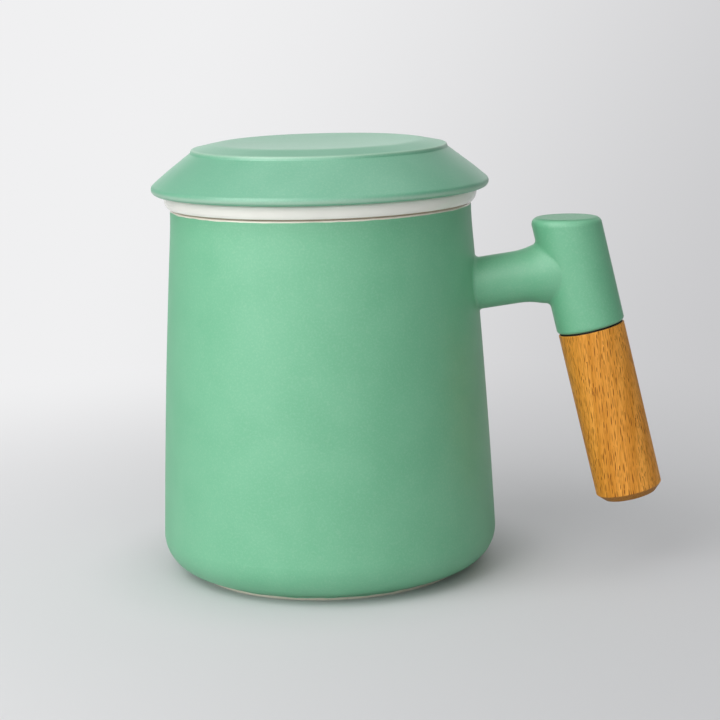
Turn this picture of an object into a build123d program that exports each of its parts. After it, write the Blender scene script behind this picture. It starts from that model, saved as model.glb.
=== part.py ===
from build123d import *

import os
from math import cos, radians, sin, tan

# Lidded tea mug: a stoneware mug with a T-shaped handle and a turned wooden grip,
# a perforated porcelain infuser that hangs in its mouth, and a lift-off lid.
# Millimetres, +Z up. The origin is the centre of the foot ring, on the surface
# that the mug stands on, and the handle points along +X.

# ---------------------------------------------------------------- driving dimensions

# mug body, outside
rim_height = 96.9
rim_radius = 39.2
lip_height = 6.9            # last stretch below the rim, where the wall turns upright
lip_lean = 0.25             # how much wider the wall is where the lip starts
wall_bow = 0.35             # outward bow of the long wall line
belly_radius = 44.2         # widest place, where the wall meets the rounded base
belly_height = 10.6
base_inset = 7.4            # belly in to where the rounded base meets the flat underside
rim_round = 0.7

# mug body, inside and foot
wall = 3.6
floor_thickness = 4.7
inside_corner = 9.0
foot_inset = 1.2            # edge of the flat underside in to the foot ring
foot_width = 3.4
foot_height = 1.45          # foot ring, seen from outside
foot_recess = 1.8           # depth of the hollow inside the foot ring
foot_round = 0.45

# handle: ceramic arm and socket
joint_reach = 30.7          # mug rim out to the centre of the socket's lower face
joint_drop = 33.0           # mug rim down to that centre
grip_tilt = 12.6            # degrees, the grip splays out towards its lower end
socket_radius = 8.88
socket_top_drop = 4.4       # mug rim down to the socket's level top
socket_top_round = 1.7
socket_lower_round = 0.9
arm_joint_height = 15.75    # socket's lower face to the arm's axis, along the grip's axis
arm_rise = 8.5              # degrees, the arm climbs away from the mug
arm_inset = 2.13             # socket's side in to the arm's side
arm_flare_start = 16.0      # grip's axis to where the arm starts to widen
arm_flare_angle = 17.0      # degrees, steepest part of the flare
arm_flare_radius = 17.0     # hollow curve of the flare
arm_mouth_curve = 14.0      # rounded curve that ends it, level with the arm
arm_blend = 1.3             # fillet between arm and socket
arm_root_blend = 1.0        # fillet between arm and mug wall

# grip's fixing
bolt_radius = 2.5
insert_wall = 0.95
insert_length = 14.0
insert_chamfer = 0.4
cement_gap = 1.1            # insert to the wall of the socket's bore
bore_depth = 21.0
fixing_inset = 0.6          # insert and cement stop short of the socket's lower face
bolt_upper_length = 12.0
bolt_lower_length = 24.0
bolt_point_length = 3.0
bolt_point_radius = 0.6
bolt_lead = 0.5             # chamfer on the machine-threaded end
fixing_clearance = 0.05
pilot_extra_depth = 1.0

# washer and wooden grip
washer_thickness = 0.45
washer_inset = 0.45         # the washer is a little smaller than the grip
washer_hole_radius = 3.0
grip_radius = 8.64
grip_length = 45.4
grip_end_chamfer = 1.9
grip_top_chamfer = 0.3

# infuser
infuser_clearance = 0.8     # basket to the mug's mouth
infuser_wall = 2.8
infuser_depth = 66.0        # below the mug's rim
infuser_taper = 2.2         # how much the basket narrows to its floor
infuser_floor = 3.0
infuser_corner = 8.0
infuser_inside_corner = 5.5
infuser_neck_round = 0.4
flange_overhang = 1.55      # past the mug's rim
flange_curve_height = 2.9   # quarter round under the overhang
flange_edge_height = 0.9    # upright edge above the quarter round
flange_edge_round = 0.7
flange_mouth_round = 1.0
drain_hole_radius = 1.15
drain_pitch = 5.4           # between rings of holes in the floor
drain_rings = 3
drain_holes_per_ring = 6    # in the first ring, and this many more in each next one
side_hole_rows = 2
side_holes = 18             # in each row
side_row_pitch = 6.0
side_row_height = 13.0      # first row above the basket's underside

# lid
lid_overhang = 3.15         # past the edge of the infuser's flange
lid_height = 12.5           # flange to the crest of the crown
brim_round = 1.3
cone_angle = 40.5           # degrees above level, near the brim
cone_upper_angle = 37.5     # degrees above level, near the crown
cone_turn_height = 5.0      # above the flange, where the one eases into the other
cone_turn_round = 80.0
crown_height = 2.3          # crest above the cone's upper edge
crown_edge_height = 0.95    # upright edge of the crown
crown_edge_lean = 0.3       # how far that edge leans in
crown_edge_round = 0.5
crown_foot_round = 0.4
crown_band_width = 6.5      # sloping band from the edge up to the crest
crest_round = 10.0
dish_depth = 0.9            # crest down to the middle of the lid
lid_thickness = 4.4         # at the centre
lid_hollow_corner = 3.0
skirt_clearance = 0.4       # skirt to the infuser's mouth
skirt_thickness = 3.0
skirt_depth = 3.4           # it ends above the mug's rim
skirt_round = 0.8

# ---------------------------------------------------------------- derived places

lip_base = rim_height - lip_height
lip_radius = rim_radius + lip_lean
base_radius = belly_radius - base_inset
foot_radius = base_radius - foot_inset
floor_height = foot_recess + floor_thickness
mouth_radius = rim_radius - wall
wall_lean = (belly_radius - lip_radius) / (lip_base - belly_height)

arm_radius = socket_radius - arm_inset
insert_radius = bolt_radius + fixing_clearance + insert_wall
bore_radius = insert_radius + cement_gap

tilt = radians(grip_tilt)
rise = radians(arm_rise)
joint_x = rim_radius + joint_reach
joint_z = rim_height - joint_drop
socket_top = rim_height - socket_top_drop
socket_length = (socket_top - joint_z) / cos(tilt) + 2 * socket_radius * tan(tilt)

# The grip's axis: this plane lies in the socket's lower face and looks up the axis.
joint_plane = Plane(
    origin=(joint_x, 0, joint_z),
    x_dir=(cos(tilt), 0, sin(tilt)),
    z_dir=(-sin(tilt), 0, cos(tilt)),
)
fixing_plane = joint_plane.offset(fixing_inset)
grip_plane = joint_plane.offset(-washer_thickness)

# Lengthwise plane through the grip's axis, for turned profiles: x out, y up the axis.
grip_axis = Axis(joint_plane.origin, joint_plane.z_dir)
turning_plane = Plane(origin=joint_plane.origin, x_dir=joint_plane.x_dir, z_dir=(0, -1, 0))

# The arm's axis runs from the grip's axis back down to the mug.
arm_plane = Plane(
    origin=joint_plane.offset(arm_joint_height).origin,
    x_dir=(-cos(rise), 0, -sin(rise)),
    z_dir=(0, 1, 0),
)
arm_root = (arm_plane.origin.X - mouth_radius) / cos(rise)

infuser_radius = mouth_radius - infuser_clearance
infuser_inside = infuser_radius - infuser_wall
basket_bottom = rim_height - infuser_depth
basket_floor = basket_bottom + infuser_floor
basket_radius = infuser_radius - infuser_taper
flange_radius = rim_radius + flange_overhang
seat_height = rim_height + flange_curve_height + flange_edge_height

lid_radius = flange_radius + lid_overhang
lid_top = seat_height + lid_height
hollow_top = lid_top - dish_depth - lid_thickness
skirt_radius = infuser_inside - skirt_clearance
skirt_inside = skirt_radius - skirt_thickness
skirt_bottom = seat_height - skirt_depth
cone_rise = lid_height - crown_height
brim_tip = lid_radius - brim_round + brim_round / tan(radians(cone_angle / 2))
cone_turn = brim_tip - cone_turn_height / tan(radians(cone_angle))
crown_foot = cone_turn - (cone_rise - cone_turn_height) / tan(radians(cone_upper_angle))
crown_radius = crown_foot - crown_edge_lean
crest_radius = crown_radius - crown_band_width

# ---------------------------------------------------------------- mug body

# The arm is a round bar that widens as it opens into the socket.
with BuildPart() as arm_bar:
    with BuildSketch(arm_plane):
        with BuildLine():
            bar_line = Line((arm_root, arm_radius), (arm_flare_start, arm_radius))
            flare_line = JernArc(bar_line @ 1, bar_line % 1, arm_flare_radius, -arm_flare_angle)
            mouth_line = JernArc(flare_line @ 1, flare_line % 1, arm_mouth_curve, arm_flare_angle)
            Polyline(
                mouth_line @ 1,
                (0, (mouth_line @ 1).Y),
                (0, 0),
                (arm_root, 0),
                bar_line @ 0,
            )
        make_face()
    revolve(axis=Axis(arm_plane.origin, arm_plane.x_dir))

# The socket is a leaning cylinder with a level top and a square lower end.
with BuildPart() as handle_blank:
    with BuildSketch(joint_plane):
        Circle(socket_radius)
    extrude(amount=socket_length)
    split(bisect_by=Plane.XY.offset(socket_top), keep=Keep.BOTTOM)
    fillet(handle_blank.edges().sort_by(Axis.Z)[-1], radius=socket_top_round)
    fillet(handle_blank.edges().sort_by(Axis.Z)[0], radius=socket_lower_round)
    add(arm_bar.part)
    fillet(handle_blank.edges(Select.NEW), radius=arm_blend)

with BuildPart() as mug_body:
    # outside form, turned about Z
    with BuildSketch(Plane.YZ) as outside:
        with BuildLine():
            wall_line = SagittaArc((belly_radius, belly_height), (lip_radius, lip_base), -wall_bow)
            lip_line = TangentArc(wall_line @ 1, (rim_radius, rim_height), tangent=wall_line % 1)
            corner_line = TangentArc(
                wall_line @ 0, (base_radius, foot_height), tangent=(wall_line % 0) * -1
            )
            Polyline(
                corner_line @ 1,
                (foot_radius, foot_height),
                (foot_radius, 0),
                (foot_radius - foot_width, 0),
                (foot_radius - foot_width, foot_recess),
                (0, foot_recess),
                (0, rim_height),
                lip_line @ 1,
            )
        make_face()
        fillet(outside.vertices().group_by(Axis.Y)[0], radius=foot_round)
    revolve(axis=Axis.Z)

    # handle
    add(handle_blank.part)
    fillet(mug_body.edges(Select.NEW), radius=arm_root_blend)

    # inside: the same wall line, carried on down to the floor
    with BuildSketch(Plane.YZ) as inside:
        with BuildLine():
            floor_reach = belly_radius - wall + wall_lean * (belly_height - floor_height)
            inside_line = SagittaArc(
                (floor_reach, floor_height), (lip_radius - wall, lip_base), -wall_bow
            )
            Polyline(
                inside_line @ 1,
                (mouth_radius, rim_height),
                (0, rim_height),
                (0, floor_height),
                inside_line @ 0,
            )
        make_face()
        fillet(
            inside.vertices().group_by(Axis.Y)[0].sort_by(Axis.X)[-1], radius=inside_corner
        )
    revolve(axis=Axis.Z, mode=Mode.SUBTRACT)
    fillet(mug_body.edges().group_by(Axis.Z)[-1], radius=rim_round)

    # blind bore up the socket for the grip's fixing
    with BuildSketch(joint_plane):
        Circle(bore_radius)
    extrude(amount=bore_depth, mode=Mode.SUBTRACT)

mug_body.part.label = "mug_body"

# ---------------------------------------------------------------- grip's fixing

# Brass insert with a threaded through hole, set in the socket's bore.
with BuildPart() as threaded_insert:
    with BuildSketch(fixing_plane):
        Circle(insert_radius)
        Circle(bolt_radius + fixing_clearance, mode=Mode.SUBTRACT)
    extrude(amount=insert_length)
    chamfer(threaded_insert.edges().filter_by(GeomType.CIRCLE), length=insert_chamfer)

threaded_insert.part.label = "threaded_insert"

# Hardened cement that fills the bore round the insert and above it.
with BuildPart() as socket_cement:
    with BuildSketch(fixing_plane):
        Circle(bore_radius - fixing_clearance)
    extrude(amount=bore_depth - fixing_inset)
    with BuildSketch(fixing_plane):
        Circle(insert_radius + fixing_clearance)
    extrude(amount=insert_length, mode=Mode.SUBTRACT)

socket_cement.part.label = "socket_cement"

# Hanger bolt: machine thread up into the insert, wood thread and point down in the grip.
with BuildPart() as hanger_bolt:
    with BuildSketch(turning_plane):
        with BuildLine():
            bolt_tip = -washer_thickness - bolt_lower_length
            Polyline(
                (0, bolt_upper_length),
                (bolt_radius - bolt_lead, bolt_upper_length),
                (bolt_radius, bolt_upper_length - bolt_lead),
                (bolt_radius, bolt_tip + bolt_point_length),
                (bolt_point_radius, bolt_tip),
                (0, bolt_tip),
                (0, bolt_upper_length),
            )
        make_face()
    revolve(axis=grip_axis)

hanger_bolt.part.label = "hanger_bolt"

# Soft black washer between the socket and the grip.
with BuildPart() as grip_washer:
    with BuildSketch(grip_plane):
        Circle(grip_radius - washer_inset)
        Circle(washer_hole_radius, mode=Mode.SUBTRACT)
    extrude(amount=washer_thickness)

grip_washer.part.label = "grip_washer"

# Turned grip with a chamfered lower end and a pilot hole for the bolt.
with BuildPart() as wooden_grip:
    with BuildSketch(grip_plane):
        Circle(grip_radius)
    extrude(amount=-grip_length)
    grip_ends = wooden_grip.edges().filter_by(GeomType.CIRCLE).sort_by(Axis.Z)
    chamfer(grip_ends[0], length=grip_end_chamfer)
    chamfer(grip_ends[-1], length=grip_top_chamfer)
    with BuildSketch(grip_plane):
        Circle(bolt_radius + fixing_clearance)
    extrude(amount=-bolt_lower_length - pilot_extra_depth, mode=Mode.SUBTRACT)

wooden_grip.part.label = "wooden_grip"

# ---------------------------------------------------------------- infuser

with BuildPart() as infuser:
    # Basket and flange, turned about Z. Its flange lies flat on the mug's rim and then
    # rounds outwards past it.
    with BuildSketch(Plane.YZ):
        with BuildLine():
            basket_line = FilletPolyline(
                (0, basket_bottom),
                (basket_radius, basket_bottom),
                (infuser_radius, rim_height),
                (rim_radius, rim_height),
                radius=(infuser_corner, infuser_neck_round),
            )
            flange_line = EllipticalCenterArc(
                (rim_radius, rim_height + flange_curve_height),
                flange_overhang,
                flange_curve_height,
                start_angle=-90,
                arc_size=90,
            )
            FilletPolyline(
                flange_line @ 1,
                (flange_radius, seat_height),
                (infuser_inside, seat_height),
                (basket_radius - infuser_wall, basket_floor),
                (0, basket_floor),
                (0, basket_bottom),
                radius=(flange_edge_round, flange_mouth_round, infuser_inside_corner, 0),
            )
        make_face()
    revolve(axis=Axis.Z)

    # drain holes: rings in the floor
    with BuildSketch(Plane.XY.offset(basket_floor)):
        Circle(drain_hole_radius)
        for ring in range(1, drain_rings + 1):
            with PolarLocations(ring * drain_pitch, ring * drain_holes_per_ring):
                Circle(drain_hole_radius)
    extrude(amount=-infuser_floor, mode=Mode.SUBTRACT)

    # drain holes: staggered rows round the lower wall
    for row in range(side_hole_rows):
        row_height = basket_bottom + side_row_height + row * side_row_pitch
        row_start = row * 180 / side_holes
        with Locations((0, 0, row_height)):
            with PolarLocations(infuser_radius - infuser_wall, side_holes, row_start):
                Cylinder(
                    drain_hole_radius,
                    4 * infuser_wall,
                    rotation=(0, 90, 0),
                    mode=Mode.SUBTRACT,
                )

infuser.part.label = "infuser"

# ---------------------------------------------------------------- lid

# The brim rests on the infuser's flange and the skirt drops inside its mouth. The cone
# rises to a round crown, which slopes up from its edge to a crest round a shallow dish.
with BuildPart() as lid:
    with BuildSketch(Plane.YZ) as lid_section:
        with BuildLine():
            lid_line = FilletPolyline(
                (0, hollow_top),
                (skirt_inside, hollow_top),
                (skirt_inside, skirt_bottom),
                (skirt_radius, skirt_bottom),
                (skirt_radius, seat_height),
                (brim_tip, seat_height),
                (cone_turn, seat_height + cone_turn_height),
                (crown_foot, seat_height + cone_rise),
                (crown_radius, seat_height + cone_rise + crown_edge_height),
                (crest_radius, lid_top),
                radius=(
                    lid_hollow_corner,
                    skirt_round,
                    skirt_round,
                    0,
                    brim_round,
                    cone_turn_round,
                    crown_foot_round,
                    crown_edge_round,
                ),
            )
            dish_line = TangentArc((0, lid_top - dish_depth), lid_line @ 1, tangent=(1, 0))
            Line(dish_line @ 0, lid_line @ 0)
        make_face()
        fillet(lid_section.vertices().group_by(Axis.Y)[-1], radius=crest_round)
    revolve(axis=Axis.Z)

lid.part.label = "lid"

# ---------------------------------------------------------------- export

os.makedirs("parts", exist_ok=True)

pieces = (
    mug_body,
    socket_cement,
    threaded_insert,
    hanger_bolt,
    grip_washer,
    wooden_grip,
    infuser,
    lid,
)
for piece in pieces:
    export_step(piece.part, f"parts/{piece.part.label}.step")
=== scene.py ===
from functools import partial
from math import ceil, cos, pi, radians, sin, tan

import bpy
from bpy.props import FloatProperty, FloatVectorProperty, IntProperty, PointerProperty
from bpy.types import Operator, Panel, PropertyGroup
from mathutils import Matrix, Vector


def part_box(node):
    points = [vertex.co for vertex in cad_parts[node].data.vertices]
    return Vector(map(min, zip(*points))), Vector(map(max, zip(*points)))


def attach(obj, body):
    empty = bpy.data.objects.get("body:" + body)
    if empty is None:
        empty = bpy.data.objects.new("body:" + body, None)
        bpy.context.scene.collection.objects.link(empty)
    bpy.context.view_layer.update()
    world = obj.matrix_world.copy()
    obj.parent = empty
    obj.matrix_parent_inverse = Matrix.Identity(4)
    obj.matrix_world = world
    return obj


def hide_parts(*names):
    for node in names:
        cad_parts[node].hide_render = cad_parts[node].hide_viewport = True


bl_info = {
    "name": "Tea Mug Dresser",
    "version": (1, 0, 0),
    "blender": (4, 5, 0),
    "location": "3D View > Sidebar > Tea Mug",
    "description": "Dresses a lidded tea mug with infuser: glazes, beech and the grip's fixing",
    "category": "Object",
}

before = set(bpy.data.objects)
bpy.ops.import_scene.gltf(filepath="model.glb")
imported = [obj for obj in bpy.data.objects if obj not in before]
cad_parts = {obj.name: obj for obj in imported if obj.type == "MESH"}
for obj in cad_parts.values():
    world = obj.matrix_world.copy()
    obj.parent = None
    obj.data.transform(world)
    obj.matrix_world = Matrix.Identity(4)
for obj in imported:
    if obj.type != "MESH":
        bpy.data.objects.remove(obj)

MM = 0.001

# ------------------------------------------------------------------ places from the frame

# The mug's rim, the seat that the lid rests on, and the lid's crest.
RIM_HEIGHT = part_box("mug_body")[1][2]
SEAT_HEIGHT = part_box("infuser")[1][2]
LID_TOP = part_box("lid")[1][2]
BRIM_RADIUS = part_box("lid")[1][0]
FLANGE_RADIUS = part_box("infuser")[1][0]
BASKET_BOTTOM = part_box("infuser")[0][2]
SKIRT_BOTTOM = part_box("lid")[0][2]

# The grip's axis leans outwards as it goes down. It starts at the joint, which is the middle of
# the socket's lower face.
GRIP_TILT = radians(12.6)
JOINT_RADIUS = 69.9 * MM
JOINT_DROP = 33 * MM
JOINT = Vector((JOINT_RADIUS, 0, RIM_HEIGHT - JOINT_DROP))
GRIP_TURN = Vector((0, -GRIP_TILT, 0))
AT_THE_JOINT = {"Place": JOINT, "Turn": GRIP_TURN}
WASHER_THICKNESS = 0.45 * MM
SOCKET_TOP_DROP = 4.4 * MM

# ------------------------------------------------------------------ nodes

# The nodes used most, and their usual settings. Inputs 2 and 3 of a mix are its two values,
# and 6 and 7 its two colours.
MATH = "ShaderNodeMath"
VECTOR_MATH = "ShaderNodeVectorMath"
RANGE = "ShaderNodeMapRange"
MIX = "ShaderNodeMix"
NOISE = "ShaderNodeTexNoise"
BUMP = "ShaderNodeBump"
SPLIT = "ShaderNodeSeparateXYZ"
COMBINE = "ShaderNodeCombineXYZ"
SMOOTH = {"interpolation_type": "SMOOTHSTEP"}
RGBA = {"data_type": "RGBA"}

# Most values of a noise texture lie in this span.
NOISE_SPAN = (0.3, 0.7)


def add_node(tree, kind, inputs=(), **settings):
    """Adds a node with its settings and links, and gives back its outputs.

    inputs hold a value or a socket for each of the node's inputs, in their order, or by name
    or number. A list of sockets goes into one input together."""
    node = tree.nodes.new(kind)
    for key, value in settings.items():
        setattr(node, key, value)
    for key, value in inputs.items() if isinstance(inputs, dict) else enumerate(inputs):
        feeds = value if isinstance(value, list) else [value]
        if isinstance(feeds[0], bpy.types.NodeSocket):
            for feed in feeds:
                tree.links.new(feed, node.inputs[key])
        else:
            node.inputs[key].default_value = value
    return node.outputs


# ------------------------------------------------------------------ small helpers


def linear(hex_colour):
    """An sRGB hex colour such as #8FC6A1, as linear red, green, blue and a full alpha."""
    parts = [int(hex_colour[i : i + 2], 16) / 255 for i in (1, 3, 5)]
    return [*(c / 12.92 if c <= 0.04045 else ((c + 0.055) / 1.055) ** 2.4 for c in parts), 1.0]


def shaded(colour, *shares):
    """A colour with its red, green and blue scaled."""
    return [channel * share for channel, share in zip(colour, (*shares, 1.0))]


def setting(kind, name, description, default, **more):
    """A setting with a name, a description and a default."""
    return kind(name=name, description=description, default=default, **more)


Length = partial(setting, FloatProperty, subtype="DISTANCE")
Angle = partial(setting, FloatProperty, subtype="ANGLE")
Factor = partial(setting, FloatProperty, subtype="FACTOR", min=0, max=1)
Colour = partial(setting, FloatVectorProperty, subtype="COLOR", size=4)
Count = partial(setting, IntProperty, subtype="UNSIGNED")


def sizes_from(settings, *keys):
    """Settings under their own names, to feed to a geometry tree."""
    return {settings.bl_rna.properties[key].name: getattr(settings, key) for key in keys}


def link_object(name, data):
    item = bpy.data.objects.new(name, data)
    bpy.context.scene.collection.objects.link(item)
    return item


def paint(name, material):
    """Gives its material to a CAD node whose shape stays."""
    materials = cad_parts[name].data.materials
    materials.clear()
    materials.append(material)


# ------------------------------------------------------------------ turned forms

ARC_STEP = radians(7.5)
SHARP_ANGLE = radians(32.0)
SOCKET_KINDS = {
    int: "NodeSocketInt",
    float: "NodeSocketFloat",
    Vector: "NodeSocketVector",
    bpy.types.Material: "NodeSocketMaterial",
}


def rounded_profile(corners, longest=3 * MM, support=0.3 * MM):
    """The points of a profile, from corners that are each (radius, height, rounding).

    No step is longer than longest. Each straight run gets a point close to both its ends,
    so that its flat stays flat when the surface is shaded smooth."""
    stations = []
    for index, (radius, height, rounding) in enumerate(corners):
        corner = Vector((radius, height))
        if rounding == 0:
            stations.append([corner])
            continue
        before = (Vector(corners[index - 1][:2]) - corner).normalized()
        after = (Vector(corners[index + 1][:2]) - corner).normalized()
        turn = pi - before.angle(after)
        reach = rounding * tan(turn / 2)
        centre = corner + (before + after).normalized() * rounding / cos(turn / 2)
        start = corner + before * reach - centre
        end = corner + after * reach - centre
        steps = max(3, ceil(turn / ARC_STEP), ceil(rounding * turn / longest))
        shares = [step / steps for step in range(steps + 1)]
        arc = [(start * sin((1 - s) * turn) + end * sin(s * turn)) / sin(turn) for s in shares]
        stations.append([centre + point for point in arc])

    points = list(stations[0])
    for station in stations[1:]:
        run = station[0] - points[-1]
        if run.length > 3 * support:
            first = points[-1] + run.normalized() * support
            last = station[0] - run.normalized() * support
            pieces = ceil((last - first).length / longest)
            points += [first.lerp(last, piece / pieces) for piece in range(pieces + 1)]
        points += station
    return points


def new_geometry_tree(name, sizes):
    """A geometry tree with an input for each named size: the tree, what adds nodes to it,
    and the sockets of its inputs."""
    tree = bpy.data.node_groups.new(name, "GeometryNodeTree")
    tree.interface.new_socket("Geometry", in_out="INPUT", socket_type="NodeSocketGeometry")
    tree.interface.new_socket("Geometry", in_out="OUTPUT", socket_type="NodeSocketGeometry")
    for label, value in sizes.items():
        kind = SOCKET_KINDS[type(value)]
        tree.interface.new_socket(label, in_out="INPUT", socket_type=kind)
    node = partial(add_node, tree)
    return tree, node, node("NodeGroupInput")


def lathe_group():
    """Turns a line of points in the XZ plane about Z. Shared by all turned pieces."""
    if "lathe" in bpy.data.node_groups:
        return bpy.data.node_groups["lathe"]
    tree, node, given = new_geometry_tree("lathe", {"Segments": 1})
    points = node("GeometryNodeAttributeDomainSize", [given["Geometry"]])["Point Count"]
    columns = node("FunctionNodeIntegerMath", [given["Segments"], 1], operation="ADD")[0]
    grid = node("GeometryNodeMeshGrid", {"Vertices X": columns, "Vertices Y": points})[0]

    # Each column of the grid is the whole profile, turned by its share of a full turn.
    index = node("GeometryNodeInputIndex")[0]
    row = node("FunctionNodeIntegerMath", [index, points], operation="MODULO")[0]
    column = node("FunctionNodeIntegerMath", [index, points], operation="DIVIDE_FLOOR")[0]
    place = node("GeometryNodeInputPosition")[0]
    source = {"Geometry": given["Geometry"], "Value": place, "Index": row}
    sample = node("GeometryNodeSampleIndex", source, data_type="FLOAT_VECTOR")[0]
    share = node(MATH, [column, given["Segments"]], operation="DIVIDE")[0]
    turn = {"Vector": sample, "Angle": node(MATH, [share, 2 * pi], operation="MULTIPLY")[0]}
    turned = node("ShaderNodeVectorRotate", turn, rotation_type="Z_AXIS")[0]
    surface = node("GeometryNodeSetPosition", {"Geometry": grid, "Position": turned})[0]
    merged = node("GeometryNodeMergeByDistance", {"Geometry": surface, "Distance": 0.001 * MM})[0]
    node("NodeGroupOutput", [merged])
    return tree


def piece_tree(name, sizes, shape):
    """A piece's geometry tree: its profile turned on the lathe, shaped by its own nodes, moved
    to its place if it has one, shaded smooth but for its sharp edges, realized and painted."""
    tree, node, given = new_geometry_tree(name, sizes)
    profile = [given["Geometry"], given["Segments"]]
    turned = node("GeometryNodeGroup", profile, node_tree=lathe_group())[0]
    geometry = shape(node, given, turned)
    if "Place" in sizes:
        move = {"Geometry": geometry, "Translation": given["Place"], "Rotation": given["Turn"]}
        geometry = node("GeometryNodeTransform", move)[0]
    smooth = node("GeometryNodeSetShadeSmooth", {"Geometry": geometry}, domain="FACE")[0]
    bend = node("GeometryNodeInputMeshEdgeAngle")["Unsigned Angle"]
    sharp = node("FunctionNodeCompare", [bend, SHARP_ANGLE])[0]
    creases = {"Geometry": smooth, "Selection": sharp, "Shade Smooth": False}
    creased = node("GeometryNodeSetShadeSmooth", creases, domain="EDGE")[0]
    real = node("GeometryNodeRealizeInstances", [creased])[0]
    paint_with = {"Geometry": real, "Material": given["Material"]}
    node("NodeGroupOutput", [node("GeometryNodeSetMaterial", paint_with)[0]])
    return tree


def as_turned(node, given, turned):
    """The shape of a piece that stays as the lathe made it."""
    return turned


def make_piece(name, profile, shape, sizes, body, node):
    """Feeds a profile and its sizes to a tree, and makes the result a plain mesh. The piece
    rides on a body, and the CAD node that it stands for is hidden."""
    mesh = bpy.data.meshes.new(name)
    edges = [(index, index + 1) for index in range(len(profile) - 1)]
    mesh.from_pydata([(radius, 0, height) for radius, height in profile], edges, [])
    piece = link_object(name, mesh)
    modifier = piece.modifiers.new(name, "NODES")
    tree = piece_tree(name, sizes, shape)
    modifier.node_group = tree
    for item in tree.interface.items_tree:
        if item.in_out == "INPUT" and item.name in sizes:
            modifier[item.identifier] = sizes[item.name]
    graph = bpy.context.evaluated_depsgraph_get()
    result = bpy.data.meshes.new_from_object(piece.evaluated_get(graph), depsgraph=graph)
    piece.modifiers.clear()
    piece.data = result
    result.name = name
    result.materials.pop(index=0)  # the grid's own slot, which is empty
    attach(piece, body)
    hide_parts(node)


# ------------------------------------------------------------------ shared parts of materials


def new_material(name):
    """An empty material, what adds nodes to it, and its object coordinates."""
    material = bpy.data.materials.new(name)
    material.use_nodes = True
    material.node_tree.nodes.clear()
    node = partial(add_node, material.node_tree)
    return material, node, node("ShaderNodeTexCoord")["Object"]


def close_material(node, colour, roughness, normal, surface):
    """Ends a material in a principled shader. surface holds the rest of its inputs."""
    main_inputs = {"Base Color": colour, "Roughness": roughness, "Normal": normal}
    shader = node("ShaderNodeBsdfPrincipled", {**main_inputs, **surface})[0]
    node("ShaderNodeOutputMaterial", [shader])


def even_finish(name, width, detail, tones, roughness, relief, surface):
    """A material whose colour, roughness and relief all follow one fine noise."""
    material, node, place = new_material(name)
    texture = node(NOISE, {"Vector": place, "Scale": 1 / width, "Detail": detail})[0]
    raised = node(RANGE, [texture, *NOISE_SPAN], **SMOOTH)[0]
    colour = node(MIX, {0: raised, 6: linear(tones[0]), 7: linear(tones[1])}, **RGBA)[2]
    finish = node(RANGE, [texture, *NOISE_SPAN, *roughness], **SMOOTH)[0]
    bump = node(BUMP, {"Height": texture, "Distance": relief})[0]
    close_material(node, colour, finish, bump, surface)
    return material


def radius_and_height(node, place):
    """How far a point lies from the Z axis, and its height."""
    flat = node(VECTOR_MATH, [place, (1, 1, 0)], operation="MULTIPLY")[0]
    radius = node(VECTOR_MATH, [flat], operation="LENGTH")["Value"]
    return radius, node(SPLIT, [place])[2]


def along_grip(node, place):
    """Object coordinates from the joint, with Z along the grip's axis."""
    turn = {"Vector": place, "Location": JOINT, "Rotation": GRIP_TURN}
    return node("ShaderNodeMapping", turn, vector_type="TEXTURE")[0]


# ------------------------------------------------------------------ glazes


class GlazeSettings(PropertyGroup):
    mug_green: Colour("Mug green", "Celadon glaze on the mug", linear("#6CB88E"))
    lid_green: Colour("Lid green", "Celadon glaze on the lid", linear("#6DB190"))
    liner: Colour("Liner", "Cream glaze inside the mug and over its rim", linear("#F4F1E2"))
    clay: Colour("Bare clay", "Unglazed stoneware of the foot ring", linear("#F0EADA"))
    white: Colour("White", "Gloss glaze on the porcelain infuser", linear("#FAF8F0"))
    mug_roughness: Factor("Mug roughness", "From 0, gloss, to 1, chalky", 0.48)
    lid_roughness: Factor("Lid roughness", "From 0, gloss, to 1, chalky", 0.4)
    mug_sheen: Factor("Mug sheen", "Strength of the mug's sheen, 0.5 for plain glass", 0.9)
    lid_sheen: Factor("Lid sheen", "Strength of the lid's sheen, which is glossier", 1.0)
    mottle: Length("Mottle", "Width of the soft patches where the glaze runs thicker", 11 * MM)
    grain: Length("Grain", "Width of the fine crystals that make the glaze matte", 0.45 * MM)
    liner_edge: Length("Liner edge", "Cream glaze outside, down from the rim", 0.6 * MM)
    foot_edge: Length("Foot edge", "Height up to which the foot ring is bare", 0.75 * MM)


GLASS = {"IOR": 1.5}
BARE_ROUGHNESS = 0.85
GRAIN_RELIEF = 0.012 * MM


def celadon(node, place, colour, roughness, glaze):
    """Colour, roughness and surface height of a matte celadon glaze.

    Fine crystals scatter the light, so it looks soft and a little grainy. Where the glaze
    pools it is deeper, in patches about a centimetre wide."""
    patches = node(NOISE, {"Vector": place, "Scale": 1 / glaze.mottle})[0]
    grain = node(NOISE, {"Vector": place, "Scale": 1 / glaze.grain, "Detail": 1})[0]
    thin_glaze_and_highlight = node(RANGE, [patches, *NOISE_SPAN], **SMOOTH)[0]
    deep = shaded(colour, 0.975, 0.975, 0.975)
    pale = [channel + 0.015 * (1 - channel) for channel in colour]
    mottled = node(MIX, {0: thin_glaze_and_highlight, 6: deep, 7: pale}, **RGBA)[2]
    glint = node(RANGE, [grain, 0.4, 0.8, 0, 0.05], **SMOOTH)[0]
    white = (1.0, 1.0, 0.96, 1.0)
    grainy = node(MIX, {0: glint, 6: mottled, 7: white}, **RGBA)[2]
    gloss = (roughness - 0.04, roughness + 0.04)
    satin = node(RANGE, [grain, *NOISE_SPAN, *gloss], **SMOOTH)[0]
    return grainy, satin, grain


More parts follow.
